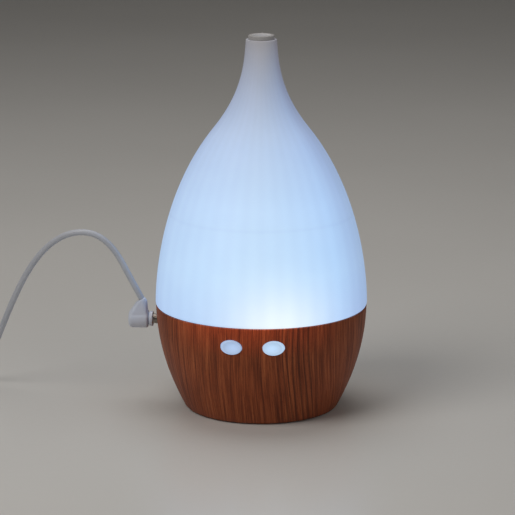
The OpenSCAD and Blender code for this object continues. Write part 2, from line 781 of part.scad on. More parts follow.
module dc_cord() {
    color(white) swept_tube(smooth_route(cord_route, 2), cord_d / 2);
}

module cord_tail() {
    color(white) swept_tube(smooth_route(tail_route, 2), cord_d / 2);
}

module cord_coil() {
    width = coil_grid[0] * cord_d;
    height = coil_grid[1] * cord_d;
    color(white) translate([coil_mid[0], coil_mid[1], coil_z]) rotate_extrude()
        translate([coil_d / 2 - width / 2, 0]) square([width, height]);
}

module cord_tie() {
    width = coil_grid[0] * cord_d;
    height = coil_grid[1] * cord_d;
    t = coil_z;
    color("dimgray") translate([coil_mid[0], coil_mid[1], 0]) rotate([0, 0, 276])
        rotate_extrude(angle = 28) translate([coil_d / 2 - width / 2, coil_z]) difference() {
            translate([-t, -t]) square([width + 2 * t, height + 2 * t]);
            square([width, height]);
        }
}

module rounded_box(low, high, r) {
    hull() for (x = [low[0] + r, high[0] - r], y = [low[1] + r, high[1] - r],
        z = [low[2] + r, high[2] - r]) translate([x, y, z]) sphere(r = r, $fn = 24);
}

module adapter_body() {
    half = adapter_size[0] / 2;
    color(white) difference() {
        rounded_box([adapter_x - half, adapter_front_y, 0],
            [adapter_x + half, adapter_back_y, adapter_size[2]], 3);
        for (side = [-1, 1]) translate([adapter_x + side * pin_gap / 2, 0, adapter_z])
            rod_y(pin_core_r, [adapter_front_y - 1, adapter_front_y + 6]);
        translate([adapter_x, 0, relief_z])
            rod_y(relief_root_r + 0.05, [adapter_back_y - 2, adapter_back_y + 1]);
    }
}

module adapter_face() {
    half = adapter_size[0] / 2 - 4;
    color(white) difference() {
        block([adapter_x - half, pin_root_y, 4], [adapter_x + half, adapter_front_y, adapter_size[2] - 4]);
        for (side = [-1, 1]) translate([adapter_x + side * pin_gap / 2, 0, adapter_z])
            rod_y(pin_core_r, [-60, -30]);
    }
}

module adapter_pins() {
    color(steel) for (side = [-1, 1])
        translate([adapter_x + side * pin_gap / 2, pin_root_y, adapter_z]) {
            rod_y(pin_core_r, [-sleeve_len - 1, 7]);
            rotate([90, 0, 0]) rotate_extrude() polygon([[0, sleeve_len], [pin_r, sleeve_len],
                [pin_r, pin_len - 1], [pin_r - 0.4, pin_len - 0.3], [pin_r - 1, pin_len],
                [0, pin_len]]);
        }
}

module adapter_pin_sleeves() {
    color([0.15, 0.15, 0.15]) for (side = [-1, 1])
        translate([adapter_x + side * pin_gap / 2, pin_root_y, adapter_z]) difference() {
            rod_y(pin_r, [-sleeve_len, 0]);
            rod_y(pin_core_r, [-sleeve_len - 1, 1]);
        }
}

module adapter_relief() {
    relief_len = 11;
    color(white) translate([adapter_x, adapter_back_y, relief_z]) rotate([-90, 0, 0])
        rotate_extrude() polygon([[0, -1.9], [relief_root_r, -1.9], [relief_root_r, 0], [3.6, 0],
            [3.6, 1.5],
            [cord_d / 2 + 0.6, relief_len], [cord_d / 2, relief_len], [cord_d / 2, 2], [0, 2]]);
}

outer_cover();
mist_spout();
inner_cover();
base_shell();
water_tank();
tank_seal();
led_lens();
transducer_disc();
transducer_gasket();
transducer_retainer();
retainer_screws();
main_board();
board_capacitor();
board_coil();
board_transistor();
heat_sink();
board_chip();
board_sockets();
board_screws();
led_board();
leds();
fan_frame();
fan_bearing();
fan_stator();
fan_rotor();
fan_screws();
fan_duct();
dc_jack();
dc_jack_pin();
light_button();
mist_button();
light_plunger();
mist_plunger();
button_board();
button_switches();
button_board_screws();
bottom_cover();
base_screws();
rubber_feet();
jack_leads();
transducer_leads();
fan_leads();
panel_leads();
dc_plug_body();
dc_plug_collar();
dc_plug_barrel();
dc_plug_insulator();
dc_cord();
cord_coil();
cord_tail();
cord_tie();
adapter_body();
adapter_face();
adapter_pins();
adapter_pin_sleeves();
adapter_relief();
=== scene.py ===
"""Looks of the cool mist humidifier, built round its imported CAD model.

Shapes are worked out in millimetres, as in part.scad, and scaled to metres when a mesh is made.
Z is up, the buttons face -Y and the power socket faces -X.
"""

import json
import math

import bmesh
import bpy
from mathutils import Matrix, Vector


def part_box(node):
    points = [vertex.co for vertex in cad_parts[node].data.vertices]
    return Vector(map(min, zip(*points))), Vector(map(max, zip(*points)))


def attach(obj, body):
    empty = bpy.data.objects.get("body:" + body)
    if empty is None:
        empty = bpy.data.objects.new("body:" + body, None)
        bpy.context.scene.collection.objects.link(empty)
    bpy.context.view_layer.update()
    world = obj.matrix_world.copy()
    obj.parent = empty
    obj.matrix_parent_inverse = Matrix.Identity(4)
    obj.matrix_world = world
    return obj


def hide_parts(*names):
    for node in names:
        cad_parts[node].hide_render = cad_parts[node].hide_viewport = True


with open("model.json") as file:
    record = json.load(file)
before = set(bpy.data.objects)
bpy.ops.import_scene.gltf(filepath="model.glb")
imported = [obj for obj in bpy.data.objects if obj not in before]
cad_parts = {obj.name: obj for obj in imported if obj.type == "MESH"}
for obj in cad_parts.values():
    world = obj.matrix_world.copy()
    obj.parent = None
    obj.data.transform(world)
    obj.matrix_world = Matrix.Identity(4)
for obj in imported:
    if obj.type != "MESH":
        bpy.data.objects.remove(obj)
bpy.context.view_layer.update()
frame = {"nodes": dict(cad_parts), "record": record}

MM = 0.001


def box_mm(node):
    """Lowest and highest corner of a CAD node, in millimetres."""
    low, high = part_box(node)
    return low / MM, high / MM


# Cover: the same two curves as in part.scad, from its widest place to its neck
COVER_LOW, COVER_HIGH = box_mm("outer_cover")
COVER_R = COVER_HIGH.x
COVER_EDGE_Z = COVER_LOW.z
NECK_Z = COVER_HIGH.z
WIDE_Z = 61
EDGE_IN = 1.5
BULGE_PULL = 8
BULGE_LEAD = 39.5
TURN = (26.9, 160)
TURN_SLOPE = 0.8
HOLLOW_LEAD = 20.5
NECK_R = 8.65
NECK_LEAD = 13.5
NECK_FLARE = 0.07
COVER_WALL = 1.8
UPPER_WALL = 1.4
STEP_Z = 112
RIBS = 36
RIB_DEPTH = 0.35
RIB_Z = (66, 190)

# Spout
SPOUT_LOW, SPOUT_HIGH = box_mm("mist_spout")
SPOUT_R = SPOUT_HIGH.x
SPOUT_BODY_R = SPOUT_R - 0.5
SPOUT_TOP = SPOUT_HIGH.z - 0.4
OUTLET_R = 5
NIB_R = 0.6

# Base: its side is a parabola that runs into a rounded bottom edge
BASE_LOW, BASE_HIGH = box_mm("base_shell")
RIM_R = 59.7
RIM_Z = BASE_HIGH.z
RIM_BEVEL = 0.4
UPRIGHT_Z = 61
DRAW_IN = 0.0045
BASE_WALL = 2
EDGE_R = 2.75
EDGE_Z = BASE_LOW.z
LEDGE_R = 55.2
LEDGE_Z = 55.8
LIP_R = 38.8
LIP_Z = (3.05, 4.3)
OPENING_R = 40.6

# Buttons
BUTTON_W = 11.8
BUTTON_H = 8.2
BUTTON_X = 11.7
BUTTON_Z = 48.2
BUTTON_RISE = 0.8
BUTTON_LIP = 1.5
BUTTON_GAP = 0.25
FLANGE_Y = (-52.2, -51.2)

# Socket, plug and cord
JACK_Z = 48.7
JACK_HOLE_R = 4.1
PLUG_R = 5.3
PLUG_X = (-75.8, -64.6)
PLUG_END_R = 2.2
PLUG_CORE_R = 3.3
COLLAR_LOW, COLLAR_HIGH = box_mm("dc_plug_collar")
COLLAR_R = COLLAR_HIGH.y
BARREL_R = 2.75
STEM_FOOT = (-67.9, 0, 57.6)
STEM_TILT = -27
STEM_R = 3
STEM_H = 2.4
CORD_D = 3.5
CORD_ROUTE = [
    (-68.1, 0, 59.6), (-70.9, 0, 65), (-73.5, 0, 69.8), (-76.6, 0, 75.7), (-79.7, 0, 81.6),
    (-82.9, 0, 86.8), (-86.5, 0, 91.3), (-91, 0, 95.1), (-96.6, 0, 97.7), (-104, 0.6, 98.2),
    (-112, 2, 96), (-120, 3.8, 91), (-127.5, 6, 83.6), (-134.5, 8.6, 74), (-141, 11.6, 62.5),
    (-147, 14.8, 50), (-152.5, 18.2, 37.5), (-157.5, 22, 26), (-162.5, 26.4, 15.8),
    (-167.5, 31.2, 7.6), (-172.4, 36.4, 3), (-176.7, 41.4, 1.8), (-180.7, 46.2, 1.8)]
TAIL_ROUTE = [
    (-225.2, 30, 8.8), (-225.2, 27, 8.9), (-225.2, 24, 9.2), (-225.2, 21, 9.6),
    (-225.2, 18.5, 9.9), (-225.2, 16, 10), (-225.2, 12, 10), (-225.2, 7, 10)]
COIL_MID = (-200, 30)
COIL_OUT_R = 25.25
COIL_IN = 40
COIL_OUT = 180
COIL_ORDER = [(0, 0), (0, 1), (1, 1), (1, 0), (2, 0), (3, 0), (3, 1), (3, 2), (2, 2), (1, 2), (0, 2)]
TIE_ANGLES = (276, 304)
TIE_T = 0.6

# Wall adapter
ADAPTER_LOW, ADAPTER_HIGH = box_mm("adapter_body")
FACE_LOW, FACE_HIGH = box_mm("adapter_face")
RELIEF_LOW, RELIEF_HIGH = box_mm("adapter_relief")
ADAPTER_CORNER = 3
SEAM_Y = -14
RELIEF_ROOT_R = 2.6
RELIEF_R = 3.6


# ---------------------------------------------------------------- shape helpers

def bezier(a, b, c, d, t):
    u = 1 - t
    return tuple(u**3 * p + 3 * t * u**2 * q + 3 * t**2 * u * r + t**3 * s
                 for p, q, r, s in zip(a, b, c, d))


def arc(mid, radius, start, end, steps):
    angles = [math.radians(start + (end - start) * i / steps) for i in range(steps + 1)]
    return [(mid[0] + radius * math.cos(a), mid[1] + radius * math.sin(a)) for a in angles]


def ease(share):
    """0 below 0, 1 above 1, and a half cosine wave between them."""
    return (1 - math.cos(math.pi * min(max(share, 0), 1))) / 2


def catmull(points, steps):
    """The smooth line that part.scad draws through a route's points."""
    line = []
    for i in range(len(points) - 1):
        a, b, c, d = (Vector(points[min(max(k, 0), len(points) - 1)]) for k in range(i - 1, i + 3))
        for s in range(steps):
            t = s / steps
            line.append(0.5 * (2 * b + (c - a) * t + (2 * a - 5 * b + 4 * c - d) * t**2
                               + (3 * b - a - 3 * c + d) * t**3))
    line.append(Vector(points[-1]))
    return line


def revolve(outline, sides, shape=None):
    """Points and faces of a closed (radius, height) outline turned about Z.
    shape(radius, height, angle, place) may change a radius."""
    points, faces = [], []
    count = len(outline)
    for k in range(sides):
        angle = 2 * math.pi * k / sides
        for place, (radius, height) in enumerate(outline):
            if shape:
                radius = shape(radius, height, angle, place)
            points.append((radius * math.cos(angle), radius * math.sin(angle), height))
    for k in range(sides):
        here, there = k * count, (k + 1) % sides * count
        for i in range(count):
            j = (i + 1) % count
            faces.append((here + i, there + i, there + j, here + j))
    return points, faces


def tube(line, radii, sides):
    """Points and faces of a round tube with closed ends. radii is one number, or one for each point."""
    if not hasattr(radii, "__len__"):
        radii = [radii] * len(line)
    points, faces = [], []
    side = None
    for i, mid in enumerate(line):
        along = (line[min(i + 1, len(line) - 1)] - line[max(i - 1, 0)]).normalized()
        if side is None:
            side = along.orthogonal()
        side = (side - along * side.dot(along)).normalized()
        up = along.cross(side)
        for k in range(sides):
            a = 2 * math.pi * k / sides
            points.append(mid + radii[i] * (math.cos(a) * side + math.sin(a) * up))
    for i in range(len(line) - 1):
        for k in range(sides):
            a, b = i * sides + k, i * sides + (k + 1) % sides
            faces.append((a, b, b + sides, a + sides))
    faces.append(tuple(range(sides - 1, -1, -1)))
    faces.append(tuple(range((len(line) - 1) * sides, len(line) * sides)))
    return points, faces


def turn_to_x(points):
    """Shapes made about Z, laid along X instead."""
    return [(p[2], p[1], p[0]) for p in points]


def apply_modifiers(piece):
    bpy.context.view_layer.update()
    graph = bpy.context.evaluated_depsgraph_get()
    made = bpy.data.meshes.new_from_object(piece.evaluated_get(graph))
    piece.modifiers.clear()
    piece.data = made


def tidy_mesh(mesh, sharp_angle=40):
    work = bmesh.new()
    work.from_mesh(mesh)
    bmesh.ops.remove_doubles(work, verts=work.verts, dist=1e-7)
    bmesh.ops.dissolve_degenerate(work, edges=work.edges, dist=1e-7)
    bmesh.ops.recalc_face_normals(work, faces=work.faces)
    work.to_mesh(mesh)
    work.free()
    mesh.shade_smooth()
    mesh.set_sharp_from_angle(angle=math.radians(sharp_angle))


def raw_object(name, points, faces):
    mesh = bpy.data.meshes.new(name)
    mesh.from_pydata([Vector(p) * MM for p in points], [], faces)
    piece = bpy.data.objects.new(name, mesh)
    bpy.context.collection.objects.link(piece)
    return piece


def finish_piece(piece, material, body, stands_for=(), sharp_angle=40):
    """Smooths the piece, gives it its material, ties it to its CAD body, and hides the CAD nodes it stands
    for.
    """
    tidy_mesh(piece.data, sharp_angle)
    piece.data.materials.clear()
    piece.data.materials.append(material)
    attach(piece, body)
    if stands_for:
        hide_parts(*stands_for)
    return piece


def boolean(piece, other, operation):
    step = piece.modifiers.new(operation.lower(), "BOOLEAN")
    step.operation = operation
    step.object = other
    step.solver = "EXACT"
    apply_modifiers(piece)
    bpy.data.objects.remove(other)


# ---------------------------------------------------------------- materials

# Painted glow of the lamp inside the cover, from its lower edge (0) to its neck (1)
COVER_GLOW = [
    (0.0, (0.38, 0.56, 0.80)), (0.18, (0.41, 0.61, 0.82)), (0.42, (0.38, 0.56, 0.78)),
    (0.62, (0.29, 0.42, 0.62)), (0.8, (0.20, 0.26, 0.38)), (1.0, (0.13, 0.12, 0.13))]
# Painted light added at the bright spot low in front
COVER_HOT = (0.40, 0.31, 0.13)
# Painted shade on the glow: share of the light that is left from the cover's left side (0), past its front
# (0.5), to its right (1)
COVER_SIDES = [
    (0.0, (0.62, 0.66, 0.76)), (0.06, (0.79, 0.82, 0.90)), (0.2, (0.88, 0.91, 0.97)),
    (0.35, (0.95, 0.96, 1.0)), (0.5, (0.98, 0.98, 0.99)), (0.65, (0.96, 0.98, 1.01)),
    (0.8, (0.91, 0.96, 1.04)), (0.9, (0.84, 0.91, 1.03)), (0.97, (0.68, 0.71, 0.84)),
    (1.0, (0.60, 0.62, 0.72))]
WOOD_DARK = (0.130, 0.026, 0.007)
WOOD_MIDDLE = (0.270, 0.058, 0.016)
WOOD_LIGHT = (0.390, 0.104, 0.032)
# Painted light from the cover's glow, making the wood redder and brighter just under the cover, in front
WOOD_PAINTED_GLOW = (1.75, 1.15, 1.1)
# Dark lines in a whole turn, how far those on the right slant, and each group's middle and half width
WOOD_LINES = 137
WOOD_SLANT = 1.5
WOOD_GROUPS = ((0.41, 0.22), (-1.06, 0.14))


class Nodes:
    """Short names for the node tree of one new material."""

    def __init__(self, name):
        self.material = bpy.data.materials.new(name)
        self.material.use_nodes = True
        self.tree = self.material.node_tree
        self.shader = self.tree.nodes["Principled BSDF"]

    def set(self, socket, value):
        """A number, colour or other node's output for one of the shader's sockets."""
        self.feed(self.shader.inputs[socket], value)

    def feed(self, socket, value):
        if isinstance(value, bpy.types.NodeSocket):
            self.tree.links.new(value, socket)
        elif hasattr(value, "__len__") and socket.type == "RGBA":
            socket.default_value = (*value, 1)
        else:
            socket.default_value = value

    def math(self, operation, a, b=0.0, clamp=False):
        node = self.tree.nodes.new("ShaderNodeMath")
        node.operation = operation
        node.use_clamp = clamp
        self.feed(node.inputs[0], a)
        self.feed(node.inputs[1], b)
        return node.outputs[0]

    def place(self):
        """Where the surface is, in metres in the object's own frame."""
        return self.tree.nodes.new("ShaderNodeTexCoord").outputs["Object"]

    def axes(self, vector):
        node = self.tree.nodes.new("ShaderNodeSeparateXYZ")
        self.feed(node.inputs[0], vector)
        return node.outputs

    def vector(self, x, y, z):
        node = self.tree.nodes.new("ShaderNodeCombineXYZ")
        for socket, value in zip(node.inputs, (x, y, z)):
            self.feed(socket, value)
        return node.outputs[0]

    def noise(self, vector, scale, detail=2.0, rough=0.5):
        node = self.tree.nodes.new("ShaderNodeTexNoise")
        self.feed(node.inputs["Vector"], vector)
        node.inputs["Scale"].default_value = scale
        node.inputs["Detail"].default_value = detail
        node.inputs["Roughness"].default_value = rough
        return node.outputs["Fac"]

    def ramp(self, share, *stops):
        """A colour ramp through (position, colour) stops."""
        node = self.tree.nodes.new("ShaderNodeValToRGB")
        self.feed(node.inputs[0], share)
        line = node.color_ramp.elements
        while len(line) < len(stops):
            line.new(0.5)
        for element, (position, colour) in zip(line, stops):
            element.position = position
            element.color = (*colour, 1)
        return node.outputs[0]

    def range(self, value, low, high, to_low, to_high, kind="LINEAR"):
        node = self.tree.nodes.new("ShaderNodeMapRange")
        node.interpolation_type = kind
        for socket, number in zip(node.inputs, (value, low, high, to_low, to_high)):
            self.feed(socket, number)
        return node.outputs[0]

    def mix(self, share, a, b, blend="MIX"):
        node = self.tree.nodes.new("ShaderNodeMix")
        node.data_type = "RGBA"
        node.blend_type = blend
        self.feed(node.inputs["Factor"], share)
        self.feed(node.inputs[6], a)
        self.feed(node.inputs[7], b)
        return node.outputs[2]

    def bump(self, height, strength, distance):
        node = self.tree.nodes.new("ShaderNodeBump")
        node.inputs["Strength"].default_value = strength
        node.inputs["Distance"].default_value = distance
        self.feed(node.inputs["Height"], height)
        self.set("Normal", node.outputs[0])


def moulded(name, dark, light, rough=(0.35, 0.5), grain=900, bump=0.08, metallic=0.0, ior=1.46):
    """A moulded or cast surface: slight cloudiness in its colour, uneven gloss and a fine skin."""
    n = Nodes(name)
    place = n.place()
    cloud = n.noise(place, grain / 12, 3)
    fine = n.noise(place, grain, 2)
    n.set("Base Color", n.ramp(cloud, (0.3, dark), (0.7, light)))
    n.set("Roughness", n.range(fine, 0.3, 0.7, *rough))
    n.set("Metallic", metallic)
    n.set("IOR", ior)
    n.bump(fine, bump, 0.0002)
    return n.material


def frosted_cover():
    """Frosted plastic with a lamp inside, its light painted on as emission: brightest low in front, greyer
    towards the neck, dimmer at the sides, with painted shade lines from the inside ribs and step.
    """
    n = Nodes("frosted_cover_glow")
    place = n.place()
    x, y, z = n.axes(place)
    fine = n.noise(place, 1400, 2)
    cloud = n.noise(place, 60, 3)
    n.set("Base Color", n.ramp(cloud, (0.3, (0.30, 0.31, 0.33)), (0.7, (0.33, 0.34, 0.36))))
    n.set("Roughness", n.range(fine, 0.3, 0.7, 0.60, 0.72))
    n.set("IOR", 1.36)
    n.bump(fine, 0.05, 0.0001)

    # Painted glow: by height, with a painted hot spot round the lamp low in front
    height = n.range(z, 0.059, 0.21, 0, 1)
    body = n.ramp(height, *COVER_GLOW)
    lamp = n.tree.nodes.new("ShaderNodeVectorMath")
    lamp.operation = "DISTANCE"
    n.feed(lamp.inputs[0], n.vector(x, n.math("MULTIPLY", y, 0.6), n.math("MULTIPLY", z, 1.15)))
    lamp.inputs[1].default_value = (0.016, -0.6 * 0.059, 1.15 * 0.056)
    away = n.math("POWER", lamp.outputs[1], 2)
    near = n.math("POWER", math.e, n.math("MULTIPLY", away, -1 / 0.027**2))
    glow = n.mix(near, body, COVER_HOT, "ADD")

    # Painted shade: the glow dims towards the cover's left and right sides
    angle = n.math("ARCTAN2", y, x)
    to_right = n.range(n.math("COSINE", angle), -1, 1, 0, 1)
    side = n.ramp(to_right, *COVER_SIDES)
    # Painted shade on the glow: faint stripes from the inside ribs and a slightly darker line at the
    # inside step
    painted_rib_stripes = n.math("MULTIPLY", n.math("COSINE", n.math("MULTIPLY", angle, RIBS)), 0.015)
    line = n.range(n.math("ABSOLUTE", n.math("SUBTRACT", z, STEP_Z * MM)), 0.0002, 0.0014, 0.96, 1.0)
    tone = n.math("MULTIPLY", n.math("ADD", painted_rib_stripes, 1.0), line)
    shaded = n.mix(1.0, glow, side, "MULTIPLY")
    n.set("Emission Color", n.mix(1.0, shaded, n.vector(tone, tone, tone), "MULTIPLY"))
    n.set("Emission Strength", 1.0)
    return n.material


def spout_plastic():
    """Frosted plastic of the spout ring, with painted light: a glow down its throat from the lamp below,
    and a faint glow on the rest.
    """
    n = Nodes("spout_plastic")
    place = n.place()
    x, y, _ = n.axes(place)
    fine = n.noise(place, 1100, 2)
    cloud = n.noise(place, 90, 3)
    n.set("Base Color", n.ramp(cloud, (0.3, (0.27, 0.26, 0.25)), (0.7, (0.32, 0.31, 0.30))))
    n.set("Roughness", n.range(fine, 0.3, 0.7, 0.45, 0.6))
    # Painted light: brighter emission in the throat than on the ring
    out = n.math("SQRT", n.math("ADD", n.math("MULTIPLY", x, x), n.math("MULTIPLY", y, y)))
    throat = n.range(out, (OUTLET_R + 0.1) * MM, (OUTLET_R + 0.7) * MM, 1, 0)
    n.set("Emission Color", n.mix(throat, (0.04, 0.04, 0.045), (0.17, 0.17, 0.18)))
    n.set("Emission Strength", 1.0)
    n.bump(fine, 0.05, 0.0001)
    return n.material


def wood_print():
    """A printed film of upright wood grain: fine streaks, pores and some groups of dark lines, with
    painted light from the cover's glow just under the cover, in front.
    """
    n = Nodes("wood_grain_print")
    x, y, z = n.axes(n.place())
    from_front = n.math("ARCTAN2", x, n.math("MULTIPLY", y, -1))
    radius = n.math("SQRT", n.math("ADD", n.math("MULTIPLY", x, x), n.math("MULTIPLY", y, y)))
    narrower = n.math("SUBTRACT", 1, n.math("DIVIDE", radius, RIM_R * MM))
    in_front = n.range(n.math("COSINE", from_front), -1, 1, 0, 1)
    slant = n.math("MULTIPLY", n.range(from_front, 0.1, 0.9, 1, WOOD_SLANT), in_front)
    upright = n.math("MULTIPLY", from_front, n.math("SUBTRACT", 1, n.math("MULTIPLY", narrower, slant)))

    around = n.vector(n.math("COSINE", upright), n.math("SINE", upright), n.math("MULTIPLY", z, 7))
    wander = n.math("MULTIPLY", n.math("SUBTRACT", n.noise(around, 1.8, 1), 0.5), 0.12)
    turned = n.math("ADD", upright, wander)
    across, along = n.math("COSINE", turned), n.math("SINE", turned)
    broad = n.noise(n.vector(across, along, n.math("MULTIPLY", z, 2)), 6, 2)
    streak = n.noise(n.vector(across, along, n.math("MULTIPLY", z, 0.5)), 38, 3, 0.6)
    fine = n.noise(n.vector(across, along, n.math("MULTIPLY", z, 0.35)), 130, 2, 0.6)
    pores = n.noise(n.vector(across, along, n.math("MULTIPLY", z, 1.6)), 280, 2, 0.6)
    tone = n.math("ADD", n.math("MULTIPLY", broad, 0.22),
                  n.math("ADD", n.math("MULTIPLY", streak, 0.33), n.math("MULTIPLY", fine, 0.45)))
    colour = n.ramp(tone, (0.40, WOOD_DARK), (0.5, WOOD_MIDDLE), (0.59, WOOD_LIGHT))

    uneven = n.math("MULTIPLY", n.noise(n.vector(across, along, z), 9, 1), 9)
    lines = n.math("SINE", n.math("ADD", n.math("MULTIPLY", turned, WOOD_LINES), uneven))
    groups = n.range(broad, 0.52, 0.66, 0, 0.6)
    for middle, half in WOOD_GROUPS:
        away = n.math("ABSOLUTE", n.math("SUBTRACT", turned, middle))
        groups = n.math("MAXIMUM", groups, n.range(away, half / 2, half, 1, 0))
    inked = n.math("MULTIPLY", n.range(lines, 0.2, 0.95, 0, 0.5), groups)
    dark = n.math("MULTIPLY", n.range(pores, 0.32, 0.46, 0.62, 1.0), n.math("SUBTRACT", 1, inked))
    shade = n.mix(1.0, colour, n.vector(dark, dark, dark), "MULTIPLY")

    # Painted light: the cover's glow on the wood just under it, in front
    facing = n.range(y, -0.059, -0.035, 1, 0)
    painted_glow_mask = n.math("MULTIPLY", n.range(z, 0.042, 0.059, 0, 1), facing)
    n.set("Base Color", n.mix(painted_glow_mask, shade, WOOD_PAINTED_GLOW, "MULTIPLY"))
    n.set("Roughness", n.range(fine, 0.3, 0.7, 0.60, 0.48))
    n.set("IOR", 1.35)
    n.bump(fine, 0.16, 0.0002)
    return n.material


def lit_button(name, glow, mid_x, lamp_x):
    """A milky button with a lamp behind it, its light painted on as emission: palest over the lamp,
    darkest just inside its rim.
    """
    n = Nodes(name)
    place = n.place()
    x, _, z = n.axes(place)
    fine = n.noise(place, 1200, 2)
    cloud = n.noise(place, 180, 2)
    n.set("Base Color", n.ramp(cloud, (0.3, (0.30, 0.31, 0.34)), (0.7, (0.34, 0.35, 0.37))))
    n.set("Roughness", n.range(fine, 0.3, 0.7, 0.3, 0.42))
    # Painted light: the lamp's glow by distance from the lamp, dimming towards the rim
    out_x = n.math("DIVIDE", n.math("SUBTRACT", x, (mid_x + lamp_x) * MM), BUTTON_W / 2 * MM)
    out_z = n.math("DIVIDE", n.math("SUBTRACT", z, BUTTON_Z * MM), BUTTON_H / 2 * MM)
    squares = n.math("ADD", n.math("MULTIPLY", out_x, out_x), n.math("MULTIPLY", out_z, out_z))
    out = n.math("SQRT", squares)
    tones = [(share, tuple(tone * c for c in glow)) for share, tone in
             ((0.0, 1.15), (0.35, 1.06), (0.7, 0.92), (0.9, 0.82), (0.97, 0.95))]
    n.set("Emission Color", n.ramp(out, *tones))
    n.set("Emission Strength", 1.0)
    n.bump(fine, 0.04, 0.0001)
    return n.material


def brushed_metal(name, dark, light, rough=(0.22, 0.38)):
    n = Nodes(name)
    place = n.place()
    fine = n.noise(place, 1600, 3)
    n.set("Base Color", n.ramp(n.noise(place, 220, 3), (0.3, dark), (0.7, light)))
    n.set("Roughness", n.range(fine, 0.3, 0.7, *rough))
    n.set("Metallic", 1.0)
    n.bump(fine, 0.06, 0.0001)
    return n.material


def circuit_board():
    """Solder mask with faint copper tracks under it."""
    n = Nodes("circuit_board_mask")
    x, y, z = n.axes(n.place())
    wander = n.math("MULTIPLY", n.noise(n.vector(x, y, z), 160, 2), 6.0)
    lines = n.math("SINE", n.math("ADD", n.math("MULTIPLY", n.math("ADD", x, z), 2600), wander))
    track = n.range(lines, 0.35, 0.6, 0, 1)
    n.set("Base Color", n.mix(track, (0.012, 0.1, 0.03), (0.03, 0.17, 0.055)))
    n.set("Roughness", n.range(track, 0, 1, 0.38, 0.3))
    n.bump(track, 0.2, 0.00005)
    return n.material


def winding():
    """Enamelled copper wire laid turn by turn."""
    n = Nodes("copper_winding")
    z = n.axes(n.place())[2]
    turns = n.math("SINE", n.math("MULTIPLY", z, 14000))
    n.set("Base Color", n.mix(n.range(turns, -1, 1, 0, 1), (0.14, 0.035, 0.008), (0.5, 0.16, 0.045)))
    n.set("Roughness", n.range(turns, -1, 1, 0.45, 0.28))
    n.set("Metallic", 0.7)
    n.bump(turns, 0.3, 0.0001)
    return n.material


def woven(name, dark, light):
    """Loops of a hook-and-loop strap."""
    n = Nodes(name)
    place = n.place()
    loops = n.noise(place, 2600, 2)
    n.set("Base Color", n.ramp(loops, (0.35, dark), (0.65, light)))
    n.set("Roughness", n.range(loops, 0.3, 0.7, 0.95, 0.75))
    n.bump(loops, 0.7, 0.0004)
    return n.material


